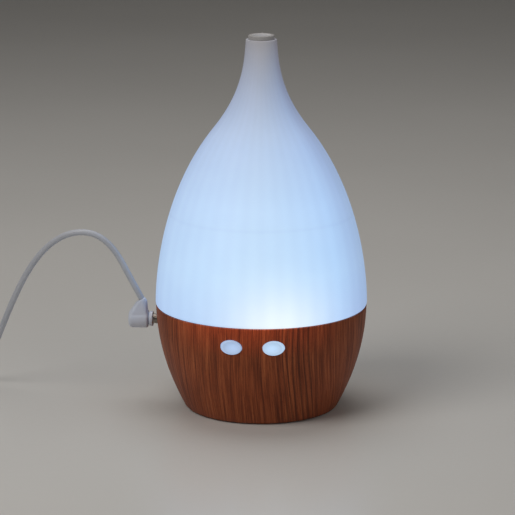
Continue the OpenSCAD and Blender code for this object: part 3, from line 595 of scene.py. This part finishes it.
def finishes():
    """One material for each material slot of the record."""
    return {
        "frosted_cover": frosted_cover(),
        "spout_plastic": spout_plastic(),
        "tank_plastic": moulded("tank_plastic", (0.70, 0.72, 0.74), (0.78, 0.80, 0.81),
                                (0.28, 0.40), 800, 0.05),
        "wood_grain": wood_print(),
        "under_plastic": moulded("under_plastic", (0.050, 0.028, 0.018), (0.075, 0.042, 0.028),
                                 (0.50, 0.65), 900, 0.2),
        "duct_plastic": moulded("duct_plastic", (0.62, 0.63, 0.64), (0.70, 0.71, 0.72),
                                (0.40, 0.52), 900, 0.1),
        "button_plastic": lit_button("mist_button_glow", (0.36, 0.54, 0.76), BUTTON_X, -1),
        "rubber": moulded("foot_rubber", (0.018, 0.018, 0.018), (0.034, 0.034, 0.034),
                          (0.70, 0.85), 700, 0.35),
        "silicone": moulded("seal_silicone", (0.20, 0.21, 0.22), (0.27, 0.28, 0.29),
                            (0.45, 0.60), 500, 0.1),
        "clear_lens": moulded("lamp_lens", (0.74, 0.78, 0.84), (0.82, 0.85, 0.90),
                              (0.12, 0.22), 500, 0.03),
        "led_package": moulded("led_package", (0.70, 0.70, 0.60), (0.86, 0.86, 0.80),
                               (0.15, 0.30), 900, 0.05),
        "disc_metal": brushed_metal("disc_plating", (0.62, 0.50, 0.28), (0.74, 0.62, 0.38),
                                    (0.20, 0.34)),
        "steel_plate": brushed_metal("zinc_plate", (0.44, 0.45, 0.46), (0.60, 0.61, 0.62), (0.30, 0.45)),
        "screw_steel": brushed_metal("screw_steel", (0.36, 0.37, 0.38), (0.56, 0.57, 0.58),
                                     (0.26, 0.42)),
        "circuit_board": circuit_board(),
        "capacitor_sleeve": moulded("capacitor_sleeve", (0.010, 0.014, 0.045), (0.020, 0.026, 0.075),
                                    (0.20, 0.32), 900, 0.05),
        "coil_winding": winding(),
        "chip_epoxy": moulded("chip_epoxy", (0.012, 0.012, 0.013), (0.026, 0.026, 0.028),
                              (0.50, 0.65), 1800, 0.25),
        "heat_sink_aluminium": brushed_metal("heat_sink_aluminium", (0.62, 0.63, 0.64), (0.76, 0.77, 0.78),
                                             (0.30, 0.45)),
        "socket_plastic": moulded("socket_plastic", (0.62, 0.57, 0.42), (0.70, 0.65, 0.50),
                                  (0.38, 0.50), 1100, 0.08),
        "fan_plastic": moulded("fan_plastic", (0.012, 0.012, 0.013), (0.024, 0.024, 0.026),
                               (0.40, 0.55), 1000, 0.12),
        "bearing_bronze": brushed_metal("bearing_bronze", (0.34, 0.20, 0.07), (0.52, 0.33, 0.13),
                                        (0.30, 0.45)),
        "jack_plastic": moulded("jack_plastic", (0.010, 0.010, 0.011), (0.022, 0.022, 0.024),
                                (0.35, 0.50), 1000, 0.1),
        "switch_metal": brushed_metal("switch_metal", (0.46, 0.47, 0.48), (0.66, 0.67, 0.68),
                                      (0.24, 0.36)),
        "contact_metal": brushed_metal("nickel_contact", (0.52, 0.51, 0.49), (0.70, 0.69, 0.66),
                                       (0.16, 0.28)),
        "wire_red": moulded("wire_red", (0.30, 0.012, 0.010), (0.40, 0.020, 0.016),
                            (0.35, 0.48), 900, 0.05),
        "wire_blue": moulded("wire_blue", (0.010, 0.030, 0.22), (0.018, 0.050, 0.32),
                             (0.35, 0.48), 900, 0.05),
        "wire_yellow": moulded("wire_yellow", (0.50, 0.32, 0.010), (0.64, 0.42, 0.020),
                               (0.35, 0.48), 900, 0.05),
        "wire_grey": moulded("wire_grey", (0.13, 0.14, 0.15), (0.20, 0.21, 0.22),
                             (0.35, 0.48), 900, 0.05),
        "plug_plastic": moulded("plug_plastic", (0.56, 0.60, 0.70), (0.64, 0.68, 0.78),
                                (0.40, 0.52), 900, 0.08),
        "cord_plastic": moulded("cord_jacket", (0.42, 0.44, 0.49), (0.49, 0.51, 0.56),
                                (0.38, 0.50), 700, 0.05),
        "tie_plastic": woven("strap_loops", (0.012, 0.012, 0.013), (0.045, 0.045, 0.050)),
        "adapter_plastic": moulded("adapter_plastic", (0.66, 0.67, 0.68), (0.74, 0.75, 0.76),
                                   (0.45, 0.60), 1300, 0.3),
        "pin_sleeve": moulded("pin_sleeve", (0.012, 0.012, 0.012), (0.022, 0.022, 0.022),
                              (0.35, 0.50), 1000, 0.08),
    }


# ---------------------------------------------------------------- camera, light, floor

def look_from_the_side_of_the_photo():
    """The photograph's view: from in front, a little to the right, and 13 degrees down."""
    distance, height, turn, tilt = 1.4916, 0.435, 5, 13.18
    aside = 0.00217
    a = math.radians(turn)
    right = Vector((math.cos(a), math.sin(a), 0))
    data = bpy.data.cameras.new("camera")
    data.sensor_width = 36
    data.lens = 189.33
    data.clip_start = 0.1
    data.clip_end = 20
    camera = bpy.data.objects.new("camera", data)
    camera.location = Vector((distance * math.sin(a), -distance * math.cos(a), height)) - aside * right
    camera.rotation_euler = (math.radians(90 - tilt), 0, a)
    bpy.context.collection.objects.link(camera)
    bpy.context.scene.camera = camera


def area_light(name, place, target, size, power, colour):
    data = bpy.data.lights.new(name, "AREA")
    data.shape = "DISK"
    data.size = size
    data.energy = power
    data.color = colour
    lamp = bpy.data.objects.new(name, data)
    lamp.location = place
    lamp.rotation_euler = (Vector(target) - Vector(place)).to_track_quat("-Z", "Y").to_euler()
    bpy.context.collection.objects.link(lamp)


def studio():
    scene = bpy.context.scene
    scene.view_settings.view_transform = "Standard"
    world = bpy.data.worlds.new("studio")
    world.use_nodes = True
    back = world.node_tree.nodes["Background"]
    back.inputs["Color"].default_value = (1.0, 0.97, 0.93, 1)
    back.inputs["Strength"].default_value = 0.10
    scene.world = world
    area_light("key", (-0.7, -0.75, 1.1), (0, 0, 0.08), 0.9, 8.5, (1.0, 0.97, 0.93))
    area_light("fill", (0.9, -0.8, 0.7), (0, 0, 0.08), 0.9, 2.2, (1.0, 0.97, 0.94))
    area_light("top", (-0.1, 0.35, 1.2), (0, 0, 0.05), 0.9, 5, (1.0, 0.98, 0.96))


def floor():
    """A pale sweep: flat under the object, and curving up far behind it."""
    half, steps, bend_start, bend_r = 6.0, 16, 2.6, 1.2
    line = [(-half, 0.0), (bend_start, 0.0)]
    line += [(bend_start + bend_r * math.sin(math.pi / 2 * i / steps),
              bend_r * (1 - math.cos(math.pi / 2 * i / steps))) for i in range(1, steps + 1)]
    line.append((bend_start + bend_r, 4.0))
    points = [(x, y, z) for y, z in line for x in (-half, half)]
    faces = [(2 * i, 2 * i + 1, 2 * i + 3, 2 * i + 2) for i in range(len(line) - 1)]
    mesh = bpy.data.meshes.new("floor")
    mesh.from_pydata(points, [], faces)
    mesh.shade_smooth()
    n = Nodes("floor_paper")
    place = n.place()
    cloud = n.noise(place, 3, 3)
    n.set("Base Color", n.ramp(cloud, (0.3, (0.60, 0.59, 0.57)), (0.7, (0.63, 0.62, 0.60))))
    n.set("Roughness", n.range(n.noise(place, 300, 2), 0.3, 0.7, 0.28, 0.34))
    mesh.materials.append(n.material)
    sheet = bpy.data.objects.new("floor", mesh)
    bpy.context.collection.objects.link(sheet)


# ---------------------------------------------------------------- cord, coil and tie

def coil_point(turned):
    """A point of the stored coil after the cord has turned so many degrees, counted from the +X side."""
    first_shift, shift_span, shift_every = 270, 100, 330
    column, row = COIL_ORDER[0]
    for k in range(1, len(COIL_ORDER)):
        share = ease((turned - first_shift - (k - 1) * shift_every) / shift_span)
        column += share * (COIL_ORDER[k][0] - COIL_ORDER[k - 1][0])
        row += share * (COIL_ORDER[k][1] - COIL_ORDER[k - 1][1])
    a = math.radians(turned)
    tie_mid = math.radians(sum(TIE_ANGLES) / 2)
    over_tie = TIE_T * ease(1.5 * math.cos(a - tie_mid) - 0.4)
    radius = COIL_OUT_R - column * CORD_D
    return Vector((COIL_MID[0] + radius * math.cos(a), COIL_MID[1] + radius * math.sin(a),
                   CORD_D / 2 + row * CORD_D + over_tie))


def cord_line():
    """The whole cord: its route, the coil's turns, and its end in the adapter's strain relief."""
    step = 7.5
    end = COIL_OUT + 360 * round((270 + 330 * (len(COIL_ORDER) - 1) - COIL_OUT) / 360)
    turns = [coil_point(COIL_IN + step * k) for k in range(1, int((end - COIL_IN) / step))]
    return catmull(CORD_ROUTE, 3) + turns + catmull(TAIL_ROUTE, 2)


def power_cord(white):
    line = cord_line()
    piece = raw_object("power_cord", *tube(line, CORD_D / 2, 12))
    finish_piece(piece, white, "power_lead", ("dc_cord", "cord_coil", "cord_tail"))
    return piece, line


def bundle_ring(width, height, corner, steps):
    """Rounded rectangle round the coil's bundle, about its centre, as (outward, up) pairs."""
    ring = []
    for k, (sx, sy) in enumerate([(1, 1), (-1, 1), (-1, -1), (1, -1)]):
        mid = (sx * (width / 2 - corner), sy * (height / 2 - corner))
        ring += arc(mid, corner, 90 * k, 90 * k + 90, steps)
    return ring


def cord_tie(material):
    """A hook-and-loop strap round the coil's bundle."""
    width, height = 4 * CORD_D, 3 * CORD_D
    mid_r = COIL_OUT_R - 1.5 * CORD_D
    mid_z = TIE_T + height / 2
    inner = bundle_ring(width, height, 1.2, 5)
    outer = bundle_ring(width + 2 * TIE_T, height + 2 * TIE_T, 1.2 + TIE_T, 5)
    points, faces = [], []
    steps = 12
    count = len(inner)
    for s in range(steps + 1):
        a = math.radians(TIE_ANGLES[0] + (TIE_ANGLES[1] - TIE_ANGLES[0]) * s / steps)
        for ring in (outer, inner):
            for out, up in ring:
                r = mid_r + out
                points.append((COIL_MID[0] + r * math.cos(a), COIL_MID[1] + r * math.sin(a), mid_z + up))
    for s in range(steps):
        base, then = 2 * count * s, 2 * count * (s + 1)
        for i in range(count):
            j = (i + 1) % count
            faces.append((base + i, base + j, then + j, then + i))
            faces.append((base + count + j, base + count + i, then + count + i, then + count + j))
    for base in (0, 2 * count * steps):
        for i in range(count):
            j = (i + 1) % count
            faces.append((base + i, base + count + i, base + count + j, base + j))
    piece = raw_object("cord_strap", points, faces)
    return finish_piece(piece, material, "power_lead", ("cord_tie",))


# ---------------------------------------------------------------- cover and spout

def cover_curves(inset):
    """The cover's outline from its widest place to its neck, moved inwards."""
    foot = (COVER_R - inset, WIDE_Z)
    turn = (TURN[0] - inset, TURN[1])
    neck = (NECK_R - inset, NECK_Z)
    bulge = [bezier(foot, (foot[0], foot[1] + BULGE_PULL),
                    (turn[0] + TURN_SLOPE * BULGE_LEAD, turn[1] - BULGE_LEAD), turn, i / 36)
             for i in range(37)]
    hollow = [bezier(turn, (turn[0] - TURN_SLOPE * HOLLOW_LEAD, turn[1] + HOLLOW_LEAD),
                     (neck[0] + NECK_FLARE * NECK_LEAD, neck[1] - NECK_LEAD), neck, i / 24)
              for i in range(1, 25)]
    return bulge + hollow


def cover_shell(material):
    """The bottle-shaped cover: rolled lower edge, inside step, 36 inside ribs and rounded shoulder."""
    lip = [(COVER_R - EDGE_IN * (1 - math.sin(a)), WIDE_Z - (WIDE_Z - COVER_EDGE_Z) * math.cos(a))
           for a in (math.radians(15 * k) for k in range(6))]
    shoulder = 0.3
    outside = [p for p in cover_curves(0) if p[1] < NECK_Z - shoulder]
    outside += [(NECK_R - shoulder * (1 - math.cos(a)) + 0.01, NECK_Z - shoulder * (1 - math.sin(a)))
                for a in (math.radians(15 * k) for k in range(1, 7))]
    spout_foot = SPOUT_LOW.z
    inside = [(COVER_R - EDGE_IN - COVER_WALL, COVER_EDGE_Z)]
    inside += [p for p in cover_curves(COVER_WALL) if p[1] < STEP_Z]
    inside += [p for p in cover_curves(UPPER_WALL) if STEP_Z < p[1] < spout_foot]
    inside += [(SPOUT_BODY_R + 0.05, spout_foot), (SPOUT_BODY_R + 0.05, NECK_Z)]
    outline = lip + outside + inside[::-1]
    first_inside = len(lip) + len(outside)
    sides = 4 * RIBS

    def ribbed(radius, height, angle, place):
        on_rib = round(angle / (2 * math.pi) * sides) % 4 == 0
        if place >= first_inside and on_rib and RIB_Z[0] < height < RIB_Z[1]:
            fade = min(height - RIB_Z[0], RIB_Z[1] - height, 4) / 4
            return radius - RIB_DEPTH * fade
        return radius

    piece = raw_object("cover_shell", *revolve(outline, sides, ribbed))
    return finish_piece(piece, material, "cover", ("outer_cover",), 50)


def spout(material):
    """The tube pressed into the neck, its ring above the shoulder and a nib on the ring's back."""
    round_r = 0.5
    foot = SPOUT_LOW.z
    outline = [(OUTLET_R, foot + 0.4), (OUTLET_R + 0.4, foot), (SPOUT_BODY_R, foot),
               (SPOUT_BODY_R, NECK_Z + 0.01), (SPOUT_R - 0.25, NECK_Z + 0.01), (SPOUT_R, NECK_Z + 0.3)]
    outline += arc((SPOUT_R - round_r, SPOUT_TOP - round_r), round_r, 0, 90, 6)
    outline += arc((OUTLET_R + 0.6, SPOUT_TOP - 0.6), 0.6, 90, 180, 5)
    piece = raw_object("spout_ring", *revolve(outline, 72))
    tidy_mesh(piece.data)
    nib_mid = (OUTLET_R + SPOUT_R) / 2
    nib_line = [(0, SPOUT_TOP - 1), (NIB_R, SPOUT_TOP - 1)]
    nib_line += arc((0, SPOUT_HIGH.z - NIB_R), NIB_R, 0, 90, 5)
    points, faces = revolve(nib_line, 20)
    nib = raw_object("nib", [(p[0], p[1] + nib_mid, p[2]) for p in points], faces)
    tidy_mesh(nib.data)
    boolean(piece, nib, "UNION")
    return finish_piece(piece, material, "cover", ("mist_spout",))


# ---------------------------------------------------------------- base and buttons

def base_radius(z):
    return RIM_R - DRAW_IN * (UPRIGHT_Z - z)**2


def base_side(start, end, inset, steps):
    heights = [start + (end - start) * i / steps for i in range(steps + 1)]
    return [(base_radius(z) - inset, z) for z in heights]


def base_shell(material):
    """The wood-look bowl, with its ledges inside, its two oval holes and the socket's round one."""
    tilt = math.atan(2 * DRAW_IN * (UPRIGHT_Z - EDGE_Z - EDGE_R / 2))
    side_z = EDGE_Z + EDGE_R * (1 - math.sin(tilt))
    edge_mid = (base_radius(side_z) - EDGE_R * math.cos(tilt), EDGE_Z + EDGE_R)
    rim = base_radius(RIM_Z) - RIM_BEVEL
    outside = arc(edge_mid, EDGE_R, -90, -math.degrees(tilt), 9)
    outside += base_side(side_z, RIM_Z - RIM_BEVEL, 0, 40)[1:]
    outside += arc((rim, RIM_Z - RIM_BEVEL), RIM_BEVEL, 30, 90, 3)
    inside = base_side(RIM_Z, LEDGE_Z, BASE_WALL, 2)
    inside += [(LEDGE_R, LEDGE_Z), (LEDGE_R, LEDGE_Z - 1)]
    inside += base_side(LEDGE_Z - 3, LIP_Z[1], BASE_WALL, 24)
    inside += [(LIP_R, LIP_Z[1]), (LIP_R, LIP_Z[0]), (OPENING_R, LIP_Z[0]), (OPENING_R, EDGE_Z)]
    piece = raw_object("wood_look_base", *revolve(outside + inside, 240))
    tidy_mesh(piece.data)
    for side in (-1, 1):
        line = [Vector((side * BUTTON_X, y, BUTTON_Z)) for y in (-70, -45)]
        points, faces = tube(line, 1, 64)
        half_w, half_h = BUTTON_W / 2 + BUTTON_GAP, BUTTON_H / 2 + BUTTON_GAP
        points = [(side * BUTTON_X + (p.x - side * BUTTON_X) * half_w, p.y,
                   BUTTON_Z + (p.z - BUTTON_Z) * half_h) for p in points]
        cutter = raw_object("oval_cutter", points, faces)
        tidy_mesh(cutter.data)
        boolean(piece, cutter, "DIFFERENCE")
    through = [Vector((-70, 0, JACK_Z)), Vector((-50, 0, JACK_Z))]
    drill = raw_object("socket_drill", *tube(through, JACK_HOLE_R, 48))
    tidy_mesh(drill.data)
    boolean(piece, drill, "DIFFERENCE")
    return finish_piece(piece, material, "base", ("base_shell",))


def button(name, side, material, body, node):
    """An oval button that follows the base's side, with a rounded rim, a dish and a flange behind."""
    sides, rings = 64, 12
    dish, rounding = 0.75, 0.45
    points = []
    for ring in range(rings + 1):
        out = math.sin(math.pi / 2 * ring / rings)
        for k in range(sides):
            a = 2 * math.pi * k / sides
            x = side * BUTTON_X + BUTTON_W / 2 * out * math.cos(a)
            z = BUTTON_Z + BUTTON_H / 2 * out * math.sin(a)
            front = math.sqrt((base_radius(z) + BUTTON_RISE)**2 - x**2)
            hollow = dish * ease((0.93 - out) / 0.75)
            corner = rounding * (1 - math.sqrt(max(0, 1 - max(0, (out - 0.9) / 0.1)**2)))
            points.append((x, -(front - hollow - corner), z))
    count = len(points)
    for half_w, half_h, y in ((0, 0, FLANGE_Y[0]), (BUTTON_LIP, BUTTON_LIP, FLANGE_Y[0]),
                              (BUTTON_LIP, BUTTON_LIP, FLANGE_Y[1])):
        for k in range(sides):
            a = 2 * math.pi * k / sides
            points.append((side * BUTTON_X + (BUTTON_W / 2 + half_w) * math.cos(a), y,
                           BUTTON_Z + (BUTTON_H / 2 + half_h) * math.sin(a)))
    faces = []
    for ring in range(rings + 3):
        for k in range(sides):
            a, b = ring * sides + k, ring * sides + (k + 1) % sides
            faces.append((a, b, b + sides, a + sides))
    faces.append(tuple(range(count + 2 * sides, count + 3 * sides)))
    piece = raw_object(name, points, faces)
    return finish_piece(piece, material, body, (node,))


# ---------------------------------------------------------------- plug and wall adapter

def convex(name, points):
    """The tightest closed shape round some points."""
    work = bmesh.new()
    for p in points:
        work.verts.new(Vector(p) * MM)
    bmesh.ops.convex_hull(work, input=work.verts)
    bmesh.ops.delete(work, geom=[v for v in work.verts if not v.link_faces], context="VERTS")
    mesh = bpy.data.meshes.new(name)
    work.to_mesh(mesh)
    work.free()
    piece = bpy.data.objects.new(name, mesh)
    bpy.context.collection.objects.link(piece)
    return piece


def circle(mid, along, radius, sides):
    side = along.orthogonal().normalized()
    up = along.cross(side).normalized()
    return [mid + radius * (math.cos(a) * side + math.sin(a) * up)
            for a in (2 * math.pi * k / sides for k in range(sides))]


def plug_body(material):
    """The right-angle plug: a round body that runs up into the cord's stem, with soft edges."""
    shoulder = 1.0
    outline = [(0, PLUG_X[0])]
    outline += arc((PLUG_R - PLUG_END_R, PLUG_X[0] + PLUG_END_R), PLUG_END_R, -90, 0, 8)
    outline += arc((PLUG_R - shoulder, PLUG_X[1] - shoulder), shoulder, 0, 90, 5)
    outline += [(PLUG_CORE_R, PLUG_X[1]), (PLUG_CORE_R, COLLAR_LOW.x), (0, COLLAR_LOW.x)]
    points, faces = revolve(outline, 72)
    points = [(p[0], p[1], p[2] + JACK_Z) for p in turn_to_x(points)]
    piece = raw_object("plug_body", points, faces)
    tidy_mesh(piece.data)
    x_axis = Vector((1, 0, 0))
    tilt = math.radians(STEM_TILT)
    up = Vector((math.sin(tilt), 0, math.cos(tilt)))
    foot = Vector(STEM_FOOT)
    inner_r = PLUG_R - 0.4
    stem = convex("stem", circle(Vector((PLUG_X[0] + 0.9, 0, JACK_Z)), x_axis, inner_r, 48)
                  + circle(Vector((PLUG_X[1] - 0.6, 0, JACK_Z)), x_axis, inner_r, 48)
                  + circle(foot, up, STEM_R, 48) + circle(foot + STEM_H * up, up, STEM_R - 0.1, 48))
    tidy_mesh(stem.data)
    boolean(piece, stem, "UNION")
    remesh = piece.modifiers.new("remesh", "REMESH")
    remesh.mode = "VOXEL"
    remesh.voxel_size = 0.28 * MM
    soften = piece.modifiers.new("soften", "SMOOTH")
    soften.factor = 0.5
    soften.iterations = 5
    apply_modifiers(piece)
    through = [Vector((-67, 0, JACK_Z)), Vector((-60, 0, JACK_Z))]
    bore = raw_object("bore", *tube(through, BARREL_R + 0.02, 48))
    tidy_mesh(bore.data)
    boolean(piece, bore, "DIFFERENCE")
    return finish_piece(piece, material, "power_lead", ("dc_plug_body",), 60)


def plug_collar(material):
    """The collar at the barrel's root, with both of its rims rounded."""
    rim = 0.35
    low, high = COLLAR_LOW.x, COLLAR_HIGH.x
    outline = [(BARREL_R, low)] + arc((COLLAR_R - rim, low + rim), rim, -90, 0, 4)
    outline += arc((COLLAR_R - rim, high - rim), rim, 0, 90, 4) + [(BARREL_R, high)]
    points, faces = revolve(outline, 72)
    points = [(p[0], p[1], p[2] + JACK_Z) for p in turn_to_x(points)]
    piece = raw_object("plug_collar_ring", points, faces)
    return finish_piece(piece, material, "power_lead", ("dc_plug_collar",))


def rounded_bar(name, low, high, corner, stations):
    """A bar along Y with rounded long edges. stations are (y, inset) pairs from one end to the other."""
    points, faces = [], []
    mid_x, mid_z = (low.x + high.x) / 2, (low.z + high.z) / 2
    for y, inset in stations:
        ring = bundle_ring(high.x - low.x - 2 * inset, high.z - low.z - 2 * inset, corner, 6)
        points += [(mid_x + out, y, mid_z + up) for out, up in ring]
    count = len(ring)
    for s in range(len(stations) - 1):
        for i in range(count):
            a, b = s * count + i, s * count + (i + 1) % count
            faces.append((a, b, b + count, a + count))
    faces.append(tuple(range(count - 1, -1, -1)))
    faces.append(tuple(range((len(stations) - 1) * count, len(stations) * count)))
    return raw_object(name, points, faces)


def adapter_case(material):
    """The wall adapter's case, rounded at both ends and with a seam round it."""
    low, high, r = ADAPTER_LOW, ADAPTER_HIGH, ADAPTER_CORNER
    seam_w, seam_deep = 0.7, 0.35
    turns = [math.radians(15 * k) for k in range(7)]
    front = [(low.y + r * (1 - math.cos(a)) * 0.999, r * (1 - math.sin(a)) * 0.6) for a in turns]
    seam = [(SEAM_Y - seam_w / 2, 0), (SEAM_Y - seam_w / 4, seam_deep),
            (SEAM_Y + seam_w / 4, seam_deep), (SEAM_Y + seam_w / 2, 0)]
    back = [(high.y - r * (1 - math.cos(a)) * 0.999, r * (1 - math.sin(a)) * 0.6) for a in turns[::-1]]
    piece = rounded_bar("adapter_case", low, high, r, front + seam + back)
    return finish_piece(piece, material, "power_lead", ("adapter_body",), 35)


def adapter_plate(material):
    """The raised plate that the pins come out of, its edge softened."""
    soft = 0.5
    stations = [(FACE_LOW.y, soft), (FACE_LOW.y + 0.15, 0.15), (FACE_LOW.y + soft, 0), (FACE_HIGH.y, 0)]
    piece = rounded_bar("adapter_plate", FACE_LOW, FACE_HIGH, 2, stations)
    return finish_piece(piece, material, "power_lead", ("adapter_face",))


def adapter_sleeve(material):
    """The tapered strain relief, with five ring grooves cut round it."""
    grooves, groove_deep = 5, 0.45
    foot, tip = ADAPTER_HIGH.y, RELIEF_HIGH.y
    outline = [(0, RELIEF_LOW.y), (RELIEF_ROOT_R, RELIEF_LOW.y), (RELIEF_ROOT_R, foot), (RELIEF_R, foot),
               (RELIEF_R, foot + 1.3)]
    tip_r = CORD_D / 2 + 0.6
    span = (tip - foot - 1.5) / grooves
    for k in range(grooves):
        for share, deep in ((0.0, 0), (0.12, groove_deep), (0.38, groove_deep), (0.5, 0)):
            y = foot + 1.5 + (k + share) * span
            taper = (y - foot) / (tip - foot)
            outline.append((RELIEF_R + (tip_r - RELIEF_R) * taper - deep, y))
    outline += [(tip_r, tip), (CORD_D / 2, tip), (CORD_D / 2, foot + 2), (0, foot + 2)]
    points, faces = revolve(outline, 40)
    mid_x, mid_z = (RELIEF_LOW.x + RELIEF_HIGH.x) / 2, (RELIEF_LOW.z + RELIEF_HIGH.z) / 2
    points = [(p[0] + mid_x, p[2], p[1] + mid_z) for p in points]
    piece = raw_object("adapter_strain_relief", points, faces)
    return finish_piece(piece, material, "power_lead", ("adapter_relief",))


# ---------------------------------------------------------------- build

studio()
look_from_the_side_of_the_photo()
floor()

finish = finishes()
for part in frame["record"]["subparts"]:
    slots = frame["nodes"][part["node"]].data.materials
    slots.clear()
    slots.append(finish[part["material_slot"]])
# Dark brown metal on the plug's barrel: painted shade of the socket hole, tinted as a painted reflection
# of the wood round it
barrel = frame["nodes"]["dc_plug_barrel"].data.materials
barrel.clear()
barrel.append(brushed_metal("barrel_painted_shade", (0.20, 0.17, 0.15), (0.30, 0.27, 0.24), (0.22, 0.34)))

cover_shell(finish["frosted_cover"])
spout(finish["spout_plastic"])
base_shell(finish["wood_grain"])
button("mist_key_cap", 1, finish["button_plastic"], "mist_key", "mist_button")
light_glow = lit_button("light_button_glow", (0.26, 0.39, 0.62), -BUTTON_X, 1)
button("light_key_cap", -1, light_glow, "light_key", "light_button")

plug = plug_body(finish["plug_plastic"])
collar = plug_collar(finish["plug_plastic"])
case = adapter_case(finish["adapter_plastic"])
plate = adapter_plate(finish["adapter_plastic"])
relief = adapter_sleeve(finish["adapter_plastic"])
cord, line = power_cord(finish["cord_plastic"])
strap = cord_tie(finish["tie_plastic"])
